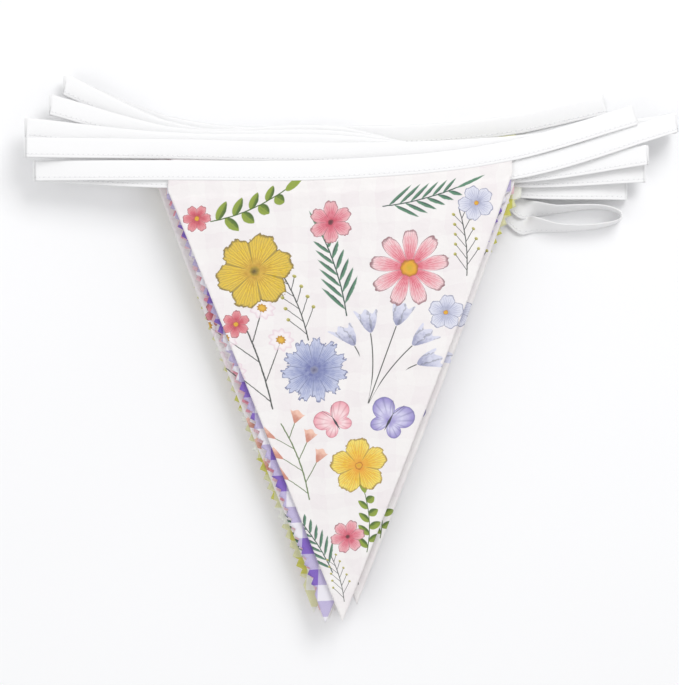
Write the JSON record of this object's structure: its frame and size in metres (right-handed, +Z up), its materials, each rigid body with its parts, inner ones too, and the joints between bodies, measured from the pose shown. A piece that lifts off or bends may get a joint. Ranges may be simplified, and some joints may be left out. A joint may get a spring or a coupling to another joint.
{
  "type": "fabric bunting",
  "caption": "Folded bunting of triangular cloth pennants, flower-printed and gingham, on one white binding tape that fans out in flat loops above the stack.",
  "frame": {"origin": "centre of the bounding box at the surface that the folded bunting lies on", "axes": "+X along the tape, to the right as seen from above; +Y from the pennants' tips to the tape; +Z up, out of the front pennant's printed face"},
  "size_m": [0.3416, 0.2866, 0.024],
  "materials": {
    "floral_cotton": "plain-woven cotton, off-white with small watercolour flowers and leaves",
    "lavender_gingham": "plain-woven gingham, lavender and white",
    "pink_gingham": "plain-woven gingham, pink and white",
    "yellow_gingham": "plain-woven gingham, yellow-green and white",
    "white_tape": "smooth woven binding tape with a slight sheen"
  },
  "bodies": {
    "root": {"pennant_01_floral": "floral_cotton", "pennant_02_lavender": "lavender_gingham", "pennant_03_floral": "floral_cotton", "pennant_04_pink": "pink_gingham", "pennant_05_floral": "floral_cotton", "pennant_06_yellow": "yellow_gingham", "pennant_07_floral": "floral_cotton", "pennant_08_lavender": "lavender_gingham", "pennant_09_floral": "floral_cotton", "pennant_10_pink": "pink_gingham", "pennant_11_floral": "floral_cotton", "pennant_12_yellow": "yellow_gingham", "tape": "white_tape"}
  },
  "joints": []
}
